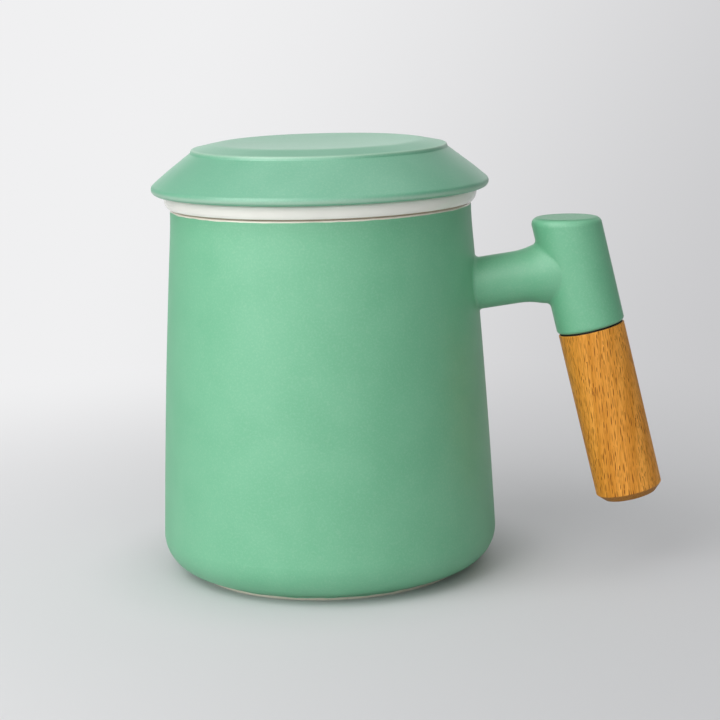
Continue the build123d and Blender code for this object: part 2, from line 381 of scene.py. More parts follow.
def glazed_stoneware(glaze):
    """Mug: celadon outside, a cream liner glaze inside that rolls over the rim, and a foot
    ring that is wiped bare, so that pale clay shows in a thin line at the table."""
    material, node, place = new_material("celadon_glazed_stoneware")
    radius, height = radius_and_height(node, place)
    green, satin, grain = celadon(node, place, glaze.mug_green, glaze.mug_roughness, glaze)

    # The liner lies inside the middle of the wall, which leans out on its way down from the
    # rim and turns in again over the floor.
    wall_radii = (43.2 * MM, 37.0 * MM)
    floor_heights = (4 * MM, 12 * MM)
    floor_radii = (35 * MM, 44.6 * MM)
    wall = node(RANGE, [height, 0, RIM_HEIGHT, *wall_radii])[0]
    floor = node(RANGE, [height, *floor_heights, *floor_radii])[0]
    middle = node(MATH, [wall, floor], operation="MINIMUM")[0]
    inside = node(MATH, [radius, middle], operation="LESS_THAN")[0]
    above_floor = node(MATH, [height, floor_heights[0]], operation="GREATER_THAN")[0]
    within = node(MATH, [inside, above_floor], operation="MULTIPLY")[0]

    # Both glaze lines wander a little up and down, as a dipped edge does.
    wander_width, wander_height = 6 * MM, 0.25 * MM
    wander = node(NOISE, {"Vector": place, "Scale": 1 / wander_width})[0]
    drift = node(RANGE, [wander, 0, 1, -wander_height, wander_height])[0]
    level = node(MATH, [height, drift], operation="ADD")[0]
    edge, softness = RIM_HEIGHT - glaze.liner_edge, 0.1 * MM
    over_rim = node(RANGE, [level, edge - softness, edge + softness], **SMOOTH)[0]
    lined = node(MATH, [within, over_rim], operation="MAXIMUM")[0]
    foot = glaze.foot_edge
    bare = node(RANGE, [level, foot, foot - 0.15 * MM], **SMOOTH)[0]

    # Painted shade: the socket's level top is given a darker green.
    top = RIM_HEIGHT - SOCKET_TOP_DROP
    shaded_top = node(RANGE, [height, top - 0.5 * MM, top - 0.1 * MM], **SMOOTH)[0]
    handle_starts = FLANGE_RADIUS + 5 * MM
    on_handle = node(MATH, [radius, handle_starts], operation="GREATER_THAN")[0]
    pooled_glaze_and_shade = node(MATH, [shaded_top, on_handle], operation="MULTIPLY")[0]
    deep = shaded(glaze.mug_green, 0.7, 0.74, 0.72)
    green = node(MIX, {0: pooled_glaze_and_shade, 6: green, 7: deep}, **RGBA)[2]

    glazed = node(MIX, {0: lined, 6: green, 7: glaze.liner}, **RGBA)[2]
    speck_width = 0.6 * MM
    specks = node(NOISE, {"Vector": place, "Scale": 1 / speck_width, "Detail": 1})[0]
    speckle = node(RANGE, [specks, 0.6, 0.75, 0, 0.3], **SMOOTH)[0]
    clay = node(MIX, {0: speckle, 6: glaze.clay, 7: linear("#D3C4A6")}, **RGBA)[2]
    colour = node(MIX, {0: bare, 6: glazed, 7: clay}, **RGBA)[2]

    liner_roughness = 0.16
    glossy_liner = node(MIX, {0: lined, 2: satin, 3: liner_roughness})[0]
    finish = node(MIX, {0: bare, 2: glossy_liner, 3: BARE_ROUGHNESS})[0]
    unlined = node(MATH, [1.0, lined], operation="SUBTRACT")[0]
    relief = node(MATH, [grain, unlined], operation="MULTIPLY")[0]
    bump = node(BUMP, {"Height": relief, "Distance": GRAIN_RELIEF})[0]
    surface = {**GLASS, "Specular IOR Level": glaze.mug_sheen}
    close_material(node, colour, finish, bump, surface)
    return material


def glazed_lid_stoneware(glaze):
    """Lid: the same celadon, paler over the crown's edge and the brim, partly where the glaze
    thins and partly as a painted highlight along those edges, with a bare ring under the skirt,
    on which the lid stands in the kiln."""
    material, node, place = new_material("celadon_glazed_lid")
    radius, height = radius_and_height(node, place)
    green, satin, grain = celadon(node, place, glaze.lid_green, glaze.lid_roughness, glaze)

    # Both edges: radius, height, and how far round it the colour is paler, partly from thin
    # glaze and partly as a painted highlight.
    crown_edge = (BRIM_RADIUS - 10.8 * MM, LID_TOP - 1.3 * MM, 0.8 * MM)
    brim_edge = (BRIM_RADIUS - 0.1 * MM, SEAT_HEIGHT + 0.9 * MM, 0.9 * MM)
    section = node(COMBINE, {"X": radius, "Y": height})[0]
    thin_glaze_and_highlight = 0.0
    for edge_radius, edge_height, reach in (crown_edge, brim_edge):
        edge = (edge_radius, edge_height, 0)
        away = node(VECTOR_MATH, [section, edge], operation="DISTANCE")["Value"]
        near = node(RANGE, [away, reach, 0, 0, 0.3], **SMOOTH)[0]
        thin_glaze_and_highlight = node(MATH, [thin_glaze_and_highlight, near], operation="MAXIMUM")[0]
    glazed = node(MIX, {0: thin_glaze_and_highlight, 6: green, 7: linear("#D6E6D6")}, **RGBA)[2]

    low, high = SKIRT_BOTTOM + 0.35 * MM, SKIRT_BOTTOM + 0.2 * MM
    bare = node(RANGE, [height, low, high], **SMOOTH)[0]
    colour = node(MIX, {0: bare, 6: glazed, 7: glaze.clay}, **RGBA)[2]
    finish = node(MIX, {0: bare, 2: satin, 3: BARE_ROUGHNESS})[0]
    bump = node(BUMP, {"Height": grain, "Distance": GRAIN_RELIEF})[0]
    surface = {**GLASS, "Specular IOR Level": glaze.lid_sheen}
    close_material(node, colour, finish, bump, surface)
    return material


def glazed_porcelain(glaze):
    """Infuser: clear gloss glaze on white porcelain, with the faint waves that a poured glaze
    leaves. Where the flange stands on the mug it is wiped bare. The outer edge of that ring is
    brown, partly the bare edge toasted by the kiln and partly painted shade of the gap under the
    flange, and shows as a thin dark line above the mug's rim."""
    material, node, place = new_material("gloss_white_porcelain")
    radius, height = radius_and_height(node, place)
    wave_width = 9 * MM
    waves = node(NOISE, {"Vector": place, "Scale": 1 / wave_width, "Detail": 1})[0]
    ripple = node(RANGE, [waves, 0.35, 0.65], **SMOOTH)[0]
    pooled_glaze_and_shade = shaded(glaze.white, 0.965, 0.965, 0.965)
    white = node(MIX, {0: ripple, 6: glaze.white, 7: pooled_glaze_and_shade}, **RGBA)[2]

    low, high = RIM_HEIGHT + 0.3 * MM, RIM_HEIGHT + 0.2 * MM
    wiped = node(RANGE, [height, low, high], **SMOOTH)[0]
    outer = FLANGE_RADIUS - 5.4 * MM
    under_flange = node(MATH, [radius, outer], operation="GREATER_THAN")[0]
    seat = node(MATH, [wiped, under_flange], operation="MULTIPLY")[0]
    # Painted shade in part: the bare ring's outer edge is dark brown, for the kiln-toasted edge
    # and the shade of the gap under the flange.
    inner_edge, outer_edge = FLANGE_RADIUS - 2.4 * MM, FLANGE_RADIUS - 1.7 * MM
    toasted_and_shaded = node(RANGE, [radius, inner_edge, outer_edge], **SMOOTH)[0]
    bare = node(MIX, {0: toasted_and_shaded, 6: linear("#E9E3D6"), 7: linear("#9E8468")}, **RGBA)[2]
    colour = node(MIX, {0: seat, 6: white, 7: bare}, **RGBA)[2]

    gloss = node(RANGE, [waves, *NOISE_SPAN, 0.14, 0.2], **SMOOTH)[0]
    finish = node(MIX, {0: seat, 2: gloss, 3: 0.7})[0]
    bump = node(BUMP, {"Height": waves, "Distance": 0.03 * MM})[0]
    close_material(node, colour, finish, bump, GLASS)
    return material


# ------------------------------------------------------------------ mug body


class TEAMUG_OT_mug(Operator):
    """Glaze the mug with its foot ring, arm and socket"""

    bl_idname = "teamug.mug"
    bl_label = "Mug body"

    def execute(self, context):
        paint("mug_body", glazed_stoneware(context.scene.teamug_glaze))
        return {"FINISHED"}


# ------------------------------------------------------------------ lid


class LidSettings(PropertyGroup):
    brim_round: Length("Brim rounding", "Radius of the brim's edge", 1.3 * MM)
    cone_angle: Angle("Cone angle", "Slope of the cone near the brim", radians(40.5))
    upper_angle: Angle("Upper angle", "Slope of the cone near the crown", radians(37.5))
    crown_height: Length("Crown height", "Crest above the cone's upper edge", 2.3 * MM)
    band_width: Length("Band width", "Slope from the crown's edge in to its crest", 6.5 * MM)
    dish_depth: Length("Dish depth", "Crest down to the middle of the lid", 0.9 * MM)
    thickness: Length("Thickness", "Thickness at the middle of the lid", 4.4 * MM)
    skirt_radius: Length("Skirt radius", "Outside of the skirt that centres the lid", 31.6 * MM)
    skirt_width: Length("Skirt width", "Thickness of the skirt", 3 * MM)
    waviness: Length("Waviness", "How far fired clay strays from a true turned form", 0.07 * MM)
    segments: Count("Segments", "Steps round the lid", 192, min=16)


def lid_profile(lid):
    """Half section of the lid, from the middle of its hollow round the brim to its dish."""
    crest_height = LID_TOP + 0.07 * MM  # its rounding takes this off
    cone_turn_height = 5 * MM
    edge_height, edge_lean = 0.95 * MM, 0.3 * MM
    crown_foot_height = crest_height - lid.crown_height
    brim_tip = BRIM_RADIUS - lid.brim_round + lid.brim_round / tan(lid.cone_angle / 2)
    cone_turn = brim_tip - cone_turn_height / tan(lid.cone_angle)
    cone_rise = crown_foot_height - SEAT_HEIGHT - cone_turn_height
    crown_foot = cone_turn - cone_rise / tan(lid.upper_angle)
    crown_edge = crown_foot - edge_lean
    crest = crown_edge - lid.band_width
    skirt_inside = lid.skirt_radius - lid.skirt_width
    dish_floor = crest_height - lid.dish_depth
    hollow_top = dish_floor - lid.thickness
    dish_round = 0.9 * (crest / 2) ** 2 / lid.dish_depth * 2  # 0.9 of the most that fits there
    return rounded_profile(
        [
            (0, hollow_top, 0),
            (skirt_inside, hollow_top, 3 * MM),
            (skirt_inside, SKIRT_BOTTOM, 0.8 * MM),
            (lid.skirt_radius, SKIRT_BOTTOM, 0.8 * MM),
            (lid.skirt_radius, SEAT_HEIGHT, 0),
            (brim_tip, SEAT_HEIGHT, lid.brim_round),
            (cone_turn, SEAT_HEIGHT + cone_turn_height, 80 * MM),
            (crown_foot, crown_foot_height, 0.4 * MM),
            (crown_edge, crown_foot_height + edge_height, 0.5 * MM),
            (crest, crest_height, 10 * MM),
            (crest / 2, dish_floor, dish_round),
            (0, dish_floor, 0),
        ]
    )


def wavy(node, given, turned):
    """Sinks and raises the surface a little, as fired clay does.

    Nothing moves that lies below the height at which the piece is seated."""
    wave_width = 22 * MM
    place = node("GeometryNodeInputPosition")[0]
    shifted = node(VECTOR_MATH, [place, given["Seed"]], operation="ADD")[0]
    waves = node(NOISE, {"Vector": shifted, "Scale": 1 / wave_width, "Detail": 0})[0]
    height = node(SPLIT, [place])[2]
    down = node(MATH, [given["Waviness"], -1.0], operation="MULTIPLY")[0]
    sink = node(RANGE, [waves, 0.25, 0.75, down, 0])[0]
    free = node(RANGE, [height, given["Seat"], given["Free"]])[0]
    depth = node(MATH, [sink, free], operation="MULTIPLY")[0]
    normal = node("GeometryNodeInputNormal")[0]
    offset = node(VECTOR_MATH, {0: normal, "Scale": depth}, operation="SCALE")[0]
    return node("GeometryNodeSetPosition", {"Geometry": turned, "Offset": offset})[0]


class TEAMUG_OT_lid(Operator):
    """Turn the lid and glaze it"""

    bl_idname = "teamug.lid"
    bl_label = "Lid"

    def execute(self, context):
        lid = context.scene.teamug_lid
        sizes = {
            **sizes_from(lid, "segments", "waviness"),
            "Seat": SEAT_HEIGHT + 0.5 * MM,
            "Free": SEAT_HEIGHT + 2.5 * MM,
            "Seed": Vector((0.31, 0.12, 0.57)),
            "Material": glazed_lid_stoneware(context.scene.teamug_glaze),
        }
        profile = lid_profile(lid)
        make_piece("glazed_lid", profile, wavy, sizes, "lid", "lid")
        return {"FINISHED"}


# ------------------------------------------------------------------ infuser


class InfuserSettings(PropertyGroup):
    neck_radius: Length("Neck radius", "Basket's outside where it meets the flange", 34.8 * MM)
    taper: Length("Taper", "How much the basket narrows to its floor", 2.2 * MM)
    wall: Length("Wall", "Thickness of the basket's wall", 2.8 * MM)
    floor: Length("Floor", "Thickness of the basket's floor", 3 * MM)
    overhang: Length("Overhang", "Flange past the mug's rim", 1.55 * MM)
    curve_height: Length("Curve height", "Height of the round under the flange", 2.9 * MM)
    hole_radius: Length("Hole radius", "Radius of a drain hole", 1.15 * MM)
    hole_flare: Length("Hole flare", "How far glaze rounds the edge of a hole", 0.35 * MM)
    ring_pitch: Length("Ring pitch", "Between the rings of holes in the floor", 5.4 * MM)
    rings: Count("Rings", "Rings of holes round the middle one", 3)
    ring_holes: Count("Ring holes", "Holes in the first ring, and more in each next one", 6)
    rows: Count("Rows", "Rows of holes round the lower wall", 2)
    row_holes: Count("Row holes", "Holes in each row", 18)
    row_height: Length("Row height", "First row above the basket's underside", 13 * MM)
    row_pitch: Length("Row pitch", "Between the rows of holes", 6 * MM)
    segments: Count("Segments", "Steps round the basket", 192, min=16)


def infuser_profile(infuser):
    """Half section of the infuser, from its underside round the flange to its floor."""
    bottom_radius = infuser.neck_radius - infuser.taper
    rim_radius = FLANGE_RADIUS - infuser.overhang
    curve_top = RIM_HEIGHT + infuser.curve_height
    curve = []
    steps = 9
    for step in range(steps + 1):
        angle = pi / 2 * step / steps
        radius = rim_radius + infuser.overhang * sin(angle)
        curve.append((radius, curve_top - infuser.curve_height * cos(angle), 0))
    floor_top = BASKET_BOTTOM + infuser.floor
    return rounded_profile(
        [
            (0, BASKET_BOTTOM, 0),
            (bottom_radius, BASKET_BOTTOM, 8 * MM),
            (infuser.neck_radius, RIM_HEIGHT, 0.4 * MM),
            *curve,
            (FLANGE_RADIUS, SEAT_HEIGHT, 0.7 * MM),
            (infuser.neck_radius - infuser.wall, SEAT_HEIGHT, 1 * MM),
            (bottom_radius - infuser.wall, floor_top, 5.5 * MM),
            (0, floor_top, 0),
        ]
    )


def hole_cutter_group():
    """A pin with flared ends, which cuts a hole whose edges are rounded by glaze."""
    if "hole_cutter" in bpy.data.node_groups:
        return bpy.data.node_groups["hole_cutter"]
    sizes = {"Radius": 0.0, "Wall": 0.0, "Flare": 0.0}
    tree, node, given = new_geometry_tree("hole_cutter", sizes)
    length = node(MATH, [given["Wall"], 1.2 * MM], operation="ADD")[0]
    round_pin = {"Vertices": 28, "Side Segments": 16, "Radius": given["Radius"], "Depth": length}
    pin = node("GeometryNodeMeshCylinder", round_pin)[0]
    place = node("GeometryNodeInputPosition")[0]
    level = node(MATH, [node(SPLIT, [place])[2]], operation="ABSOLUTE")[0]
    face = node(MATH, [given["Wall"], 0.5], operation="MULTIPLY")[0]
    inner = node(MATH, [face, given["Flare"]], operation="SUBTRACT")[0]
    share = node(RANGE, [level, inner, face])[0]
    curved = node(MATH, [share, 2.0], operation="POWER")[0]
    growth = node(MATH, [given["Flare"], given["Radius"]], operation="DIVIDE")[0]
    widen = node(MATH, [curved, growth, 1.0], operation="MULTIPLY_ADD")[0]
    scale = node(COMBINE, [widen, widen, 1.0])[0]
    flared = node(VECTOR_MATH, [place, scale], operation="MULTIPLY")[0]
    cutter = node("GeometryNodeSetPosition", {"Geometry": pin, "Position": flared})[0]
    node("NodeGroupOutput", [cutter])
    return tree


def perforated(infuser, node, given, turned):
    """Cuts rings of holes in the basket's floor and staggered rows round its wall."""
    holes = []

    def add_holes(points, wall, rotation):
        hole = {"Radius": given["Hole radius"], "Wall": given[wall], "Flare": given["Hole flare"]}
        pin = node("GeometryNodeGroup", hole, node_tree=hole_cutter_group())[0]
        pins = {"Points": points, "Instance": pin, "Rotation": rotation}
        holes.append(node("GeometryNodeInstanceOnPoints", pins)[0])

    level = (0, 0, 0)
    middle = node(COMBINE, {"Z": given["Floor middle"]})[0]
    add_holes(node("GeometryNodePoints", {"Count": 1, "Position": middle})[0], "Floor", level)
    for ring in range(1, infuser.rings + 1):
        holes_there = [given["Ring holes"], ring]
        count = node("FunctionNodeIntegerMath", holes_there, operation="MULTIPLY")[0]
        radius = node(MATH, [given["Ring pitch"], ring], operation="MULTIPLY")[0]
        circle = node("GeometryNodeMeshCircle", {"Vertices": count, "Radius": radius})[0]
        placed = node("GeometryNodeTransform", {"Geometry": circle, "Translation": middle})[0]
        add_holes(placed, "Floor", level)

    place = node("GeometryNodeInputPosition")[0]
    outwards = node(VECTOR_MATH, [place, (1, 1, 0)], operation="MULTIPLY")[0]
    facing = node("FunctionNodeAlignRotationToVector", {"Vector": outwards}, axis="Z")[0]
    around = {"Vertices": given["Row holes"], "Radius": given["Row radius"]}
    for row in range(infuser.rows):
        steps = [given["Row pitch"], row, given["Row height"]]
        lift = node(COMBINE, {"Z": node(MATH, steps, operation="MULTIPLY_ADD")[0]})[0]
        circle = node("GeometryNodeMeshCircle", around)[0]
        stagger = (0, 0, row * pi / infuser.row_holes)
        move = {"Geometry": circle, "Translation": lift, "Rotation": stagger}
        add_holes(node("GeometryNodeTransform", move)[0], "Wall", facing)

    joined = node("GeometryNodeJoinGeometry", [holes[::-1]])[0]
    cut = {"Mesh 1": turned, "Mesh 2": node("GeometryNodeRealizeInstances", [joined])[0]}
    exact = {"operation": "DIFFERENCE", "solver": "EXACT"}
    drained = node("GeometryNodeMeshBoolean", cut, **exact)[0]
    # The cut leaves slivers where a hole's edge runs close to the lathe's own lines.
    return node("GeometryNodeMergeByDistance", {"Geometry": drained, "Distance": 0.01 * MM})[0]


class TEAMUG_OT_infuser(Operator):
    """Turn the infuser, drill its drain holes and glaze it"""

    bl_idname = "teamug.infuser"
    bl_label = "Infuser"

    def execute(self, context):
        infuser = context.scene.teamug_infuser
        sizes = {
            **sizes_from(infuser, "segments", "hole_radius", "hole_flare", "floor", "wall"),
            **sizes_from(infuser, "ring_pitch", "ring_holes", "row_pitch", "row_holes"),
            "Floor middle": BASKET_BOTTOM + infuser.floor / 2,
            "Row radius": infuser.neck_radius - infuser.taper * 0.8 - infuser.wall / 2,
            "Row height": BASKET_BOTTOM + infuser.row_height,
            "Material": glazed_porcelain(context.scene.teamug_glaze),
        }
        profile, shape = infuser_profile(infuser), partial(perforated, infuser)
        make_piece("perforated_infuser", profile, shape, sizes, "infuser", "infuser")
        return {"FINISHED"}


# ------------------------------------------------------------------ grip and its washer


class GripSettings(PropertyGroup):
    radius: Length("Radius", "Radius of the turned grip", 8.64 * MM)
    length: Length("Length", "Length of the grip", 45.4 * MM)
    end_chamfer: Length("End chamfer", "Chamfer of the lower end", 1.9 * MM)
    pilot_radius: Length("Pilot radius", "Radius of the hole for the bolt", 2.55 * MM)
    pilot_depth: Length("Pilot depth", "Depth of the hole for the bolt", 25 * MM)
    beech: Colour("Beech", "Oiled beech", linear("#EAA03D"))
    fleck: Colour("Fleck", "Dark rays of beech, cut across", linear("#824205"))
    fleck_length: Length("Fleck length", "Length of a long ray fleck", 2.8 * MM)
    fleck_spacing: Length("Fleck spacing", "Between ray flecks side by side", 0.7 * MM)
    fleck_width: Length("Fleck width", "Width of a ray fleck", 0.24 * MM)
    grain_slant: Angle("Grain slant", "Grain against the grip's axis", radians(8))
    segments: Count("Segments", "Steps round the grip", 96, min=12)


def grip_profile(grip):
    """Half section of the grip, measured down its axis from the joint."""
    top = -WASHER_THICKNESS
    bottom = top - grip.length
    eased = 0.25 * MM
    return rounded_profile(
        [
            (0, bottom, 0),
            (grip.radius - grip.end_chamfer, bottom, eased),
            (grip.radius, bottom + grip.end_chamfer, eased),
            (grip.radius, top, eased),
            (grip.pilot_radius, top, 0),
            (grip.pilot_radius, top - grip.pilot_depth, 0),
            (0, top - grip.pilot_depth, 0),
        ]
    )


def oiled_beech(grip):
    """Grip: steamed beech, turned, sanded and oiled. It has fine straight grain with soft
    growth bands, and its rays show as short dark flecks. Oil deepens it to a warm gold, and
    its end grain drinks more and is darker. The end grain is painted darker still, as shade
    on the chamfer that faces down."""
    material, node, place = new_material("hand_oiled_beech")
    axial = along_grip(node, place)
    slanted = {"Vector": axial, "Rotation": (0, grip.grain_slant, 0)}
    grained = node("ShaderNodeMapping", slanted, vector_type="TEXTURE")[0]

    # One ray fleck in each cell: how far a point lies from its middle, sideways and lengthways.
    cell = (grip.fleck_spacing, grip.fleck_spacing, grip.fleck_length)
    cells = node(VECTOR_MATH, [grained, cell], operation="DIVIDE")[0]
    seeds = node("ShaderNodeTexVoronoi", {"Vector": cells, "Scale": 1})
    away = node(VECTOR_MATH, [cells, seeds["Position"]], operation="SUBTRACT")[0]
    offset = node(VECTOR_MATH, [away, cell], operation="MULTIPLY")[0]
    flat = node(VECTOR_MATH, [grained, (1, 1, 0)], operation="MULTIPLY")[0]
    outwards = node(VECTOR_MATH, [flat], operation="NORMALIZE")[0]
    across = node(VECTOR_MATH, [outwards, (0, 0, 1)], operation="CROSS_PRODUCT")[0]
    sideways = node(VECTOR_MATH, [offset, across], operation="DOT_PRODUCT")["Value"]
    lengthways = node(SPLIT, [offset])[2]

    # Flecks differ in length and depth. Each is an oval with soft edges.
    chance = node("ShaderNodeSeparateColor", [seeds["Color"]])
    reach = (0.25 * grip.fleck_length, 0.6 * grip.fleck_length)
    half_length = node(RANGE, [chance[0], 0, 1, *reach], **SMOOTH)[0]
    wide = node(MATH, [sideways, grip.fleck_width / 2], operation="DIVIDE")[0]
    long = node(MATH, [lengthways, half_length], operation="DIVIDE")[0]
    oval = node(COMBINE, [wide, long])[0]
    rim = node(VECTOR_MATH, [oval], operation="LENGTH")["Value"]
    fleck = node(RANGE, [rim, 1.2, 0.5], **SMOOTH)[0]
    depth = node(RANGE, [chance[1], 0.1, 1, 0.2, 1], **SMOOTH)[0]
    flecking = node(MATH, [fleck, depth], operation="MULTIPLY")[0]

    # Streaks and growth bands run lengthwise, so both are drawn out along Z.
    streak_width, band_width = 0.24 * MM, 2.5 * MM
    drawn = node(VECTOR_MATH, [grained, (1, 1, 0.05)], operation="MULTIPLY")[0]
    streaks = node(NOISE, {"Vector": drawn, "Scale": 1 / streak_width})[0]
    layered = node(VECTOR_MATH, [grained, (1, 0.35, 0.03)], operation="MULTIPLY")[0]
    bands = node(NOISE, {"Vector": layered, "Scale": 1 / band_width, "Detail": 1})[0]
    band = node(RANGE, [bands, 0.25, 0.75], **SMOOTH)[0]
    dark, pale = shaded(grip.beech, 0.85, 0.78, 0.6), shaded(grip.beech, 1.14, 1.2, 1.5)
    banded = node(MIX, {0: band, 6: dark, 7: pale}, **RGBA)[2]
    streak = node(RANGE, [streaks, 0.42, 0.7, 0, 0.6], **SMOOTH)[0]
    umber = shaded(grip.beech, 0.6, 0.48, 0.2)
    streaked = node(MIX, {0: streak, 6: banded, 7: umber}, **RGBA)[2]
    side = node(MIX, {0: flecking, 6: streaked, 7: grip.fleck}, **RGBA)[2]

    # End grain, from where the lower chamfer starts. Oil makes it darker, and it is painted
    # darker still as shade on the chamfer, which faces down.
    along = node(SPLIT, [axial])[2]
    chamfer = grip.end_chamfer - WASHER_THICKNESS - grip.length
    end_grain = node(RANGE, [along, chamfer, chamfer - 0.4 * MM], **SMOOTH)[0]
    pore_width = 0.35 * MM
    pits = node(NOISE, {"Vector": place, "Scale": 1 / pore_width, "Detail": 1})[0]
    pores = node(RANGE, [pits, 0.45, 0.7, 0, 0.5], **SMOOTH)[0]
    soaked_and_shaded = shaded(grip.beech, 0.5, 0.5, 0.5)
    end = node(MIX, {0: pores, 6: soaked_and_shaded, 7: grip.fleck}, **RGBA)[2]
    colour = node(MIX, {0: end_grain, 6: side, 7: end}, **RGBA)[2]

    finish = node(RANGE, [streaks, *NOISE_SPAN, 0.48, 0.6], **SMOOTH)[0]
    relief = node(MATH, [streaks, 0.4], operation="MULTIPLY")[0]
    pitted = node(MATH, [relief, fleck], operation="SUBTRACT")[0]
    bump = node(BUMP, {"Height": pitted, "Distance": 0.025 * MM})[0]
    close_material(node, colour, finish, bump, {"IOR": 1.47, "Specular IOR Level": 0.3})
    return material


def moulded_silicone():
    """Washer: black silicone with the fine matte texture of a spark-eroded mould."""
    blacks, matte = ("#141414", "#1E1E1D"), (0.55, 0.7)
    sparks, relief = 0.25 * MM, 0.01 * MM
    name = "moulded_black_silicone"
    return even_finish(name, sparks, 1, blacks, matte, relief, {"IOR": 1.41})


class TEAMUG_OT_grip(Operator):
    """Turn the beech grip, and finish the washer above it"""

    bl_idname = "teamug.grip"
    bl_label = "Grip and washer"

    def execute(self, context):
        grip = context.scene.teamug_grip
        sizes = {**sizes_from(grip, "segments"), **AT_THE_JOINT, "Material": oiled_beech(grip)}
        profile = grip_profile(grip)
        make_piece("turned_grip", profile, as_turned, sizes, "mug", "wooden_grip")
        paint("grip_washer", moulded_silicone())
        return {"FINISHED"}


# ------------------------------------------------------------------ fixing

# A thread's depth, and where a groove's side starts and ends from its middle, all as shares of
# the pitch. Grooves are cut only where the surface is, in this thin outer skin.
THREAD_DEPTH = 0.55
THREAD_SIDES = (0.44, 0.08)
KNURL_SIDES = (0.3, 0.05)
SKIN = 0.02 * MM


class FixingSettings(PropertyGroup):
    bolt_radius: Length("Bolt radius", "Radius over the bolt's threads", 2.5 * MM)
    upper_length: Length("Machine thread", "Length of the bolt in the insert", 12 * MM)
    lower_length: Length("Wood thread", "Length of the bolt in the grip", 24 * MM)
    machine_pitch: Length("Machine pitch", "Pitch of the M5 thread", 0.8 * MM)
    wood_pitch: Length("Wood pitch", "Pitch of the wood thread", 2.2 * MM)
    insert_radius: Length("Insert radius", "Radius over the insert's knurl", 3.5 * MM)
    insert_length: Length("Insert length", "Length of the insert", 14 * MM)
    insert_inset: Length("Insert inset", "Insert above the socket's lower face", 0.6 * MM)
    knurl_depth: Length("Knurl depth", "Depth of the knurl's grooves", 0.2 * MM)
    knurl_ridges: Count("Ridges", "Ridges round the insert", 24)


def bolt_profile(fixing):
    """Half section of a hanger bolt, in steps fine enough to carry its threads."""
    lead, point_length, point_radius = 0.5 * MM, 3 * MM, 0.6 * MM
    tip = -WASHER_THICKNESS - fixing.lower_length
    return rounded_profile(
        [
            (0, tip, 0),
            (point_radius, tip, 0),
            (fixing.bolt_radius, tip + point_length, 0),
            (fixing.bolt_radius, fixing.upper_length - lead, 0),
            (fixing.bolt_radius - lead, fixing.upper_length, 0),
            (0, fixing.upper_length, 0),
        ],
        longest=0.1 * MM, support=0.05 * MM,
    )


def insert_profile(fixing):
    """Closed section of the insert: its bore, its ends and its knurled outside."""
    chamfer, inner = 0.4 * MM, fixing.bolt_radius + 0.05 * MM
    bottom = fixing.insert_inset
    top = bottom + fixing.insert_length
    outer = fixing.insert_radius
    return rounded_profile(
        [
            (inner + chamfer, bottom, 0),
            (outer - chamfer, bottom, 0),
            (outer, bottom + chamfer, 0),
            (outer, top - chamfer, 0),
            (outer - chamfer, top, 0),
            (inner + chamfer, top, 0),
            (inner, top - chamfer, 0),
            (inner, bottom + chamfer, 0),
            (inner + chamfer, bottom, 0),
        ],
        longest=0.2 * MM, support=0.1 * MM,
    )


def turns_and_place(node):
    """Turns round the Z axis from -0.5 to 0.5, the distance from that axis, and the height."""
    place = node("GeometryNodeInputPosition")[0]
    split = node(SPLIT, [place])
    angle = node(MATH, [split[1], split[0]], operation="ARCTAN2")[0]
    turns = node(MATH, [angle, 2 * pi], operation="DIVIDE")[0]
    return turns, *radius_and_height(node, place)


def from_groove(node, wound):
    """How far a point lies from the nearest groove, up to half a pitch, from how many pitches
    it lies along the winding."""
    phase = node(MATH, [wound], operation="FRACT")[0]
    centred = node(MATH, [phase, 0.5], operation="SUBTRACT")[0]
    return node(MATH, [centred], operation="ABSOLUTE")[0]


def sink_radially(node, geometry, depth, radius, core):
    """Moves the points that lie further than core from the Z axis towards it by depth."""
    place = node("GeometryNodeInputPosition")[0]
    flat = node(VECTOR_MATH, [place, (-1, -1, 0)], operation="MULTIPLY")[0]
    inwards = node(VECTOR_MATH, [flat], operation="NORMALIZE")[0]
    offset = node(VECTOR_MATH, {0: inwards, "Scale": depth}, operation="SCALE")[0]
    outer = node(MATH, [radius, core], operation="GREATER_THAN")[0]
    moved = {"Geometry": geometry, "Selection": outer, "Offset": offset}
    return node("GeometryNodeSetPosition", moved)[0]


def threaded(node, given, turned):
    """Cuts a machine thread above the joint and a coarser wood thread below it."""
    turns, radius, height = turns_and_place(node)
    upper = node(MATH, [height, 0.0], operation="GREATER_THAN")[0]
    pitch = node(MIX, {0: upper, 2: given["Wood pitch"], 3: given["Machine pitch"]})[0]
    along = node(MATH, [height, pitch], operation="DIVIDE")[0]
    wound = node(MATH, [along, turns], operation="SUBTRACT")[0]
    full_depth = node(MATH, [pitch, THREAD_DEPTH], operation="MULTIPLY")[0]
    capped = node(MATH, [full_depth, given["Deepest"]], operation="MINIMUM")[0]
    depth = node(RANGE, [from_groove(node, wound), *THREAD_SIDES, 0, capped])[0]
    return sink_radially(node, turned, depth, radius, given["Core"])


def knurled(node, given, turned):
    """Cuts two crossing sets of slanted grooves."""
    turns, radius, height = turns_and_place(node)
    around = node(MATH, [turns, given["Ridges"]], operation="MULTIPLY")[0]
    upwards = node(MATH, [height, given["Ridge pitch"]], operation="DIVIDE")[0]
    grooves = []
    for slant in ("ADD", "SUBTRACT"):
        wound = node(MATH, [around, upwards], operation=slant)[0]
        grooves.append(from_groove(node, wound))
    nearest = node(MATH, grooves, operation="MINIMUM")[0]
    depth = node(RANGE, [nearest, *KNURL_SIDES, 0, given["Knurl depth"]])[0]
    return sink_radially(node, turned, depth, radius, given["Core"])


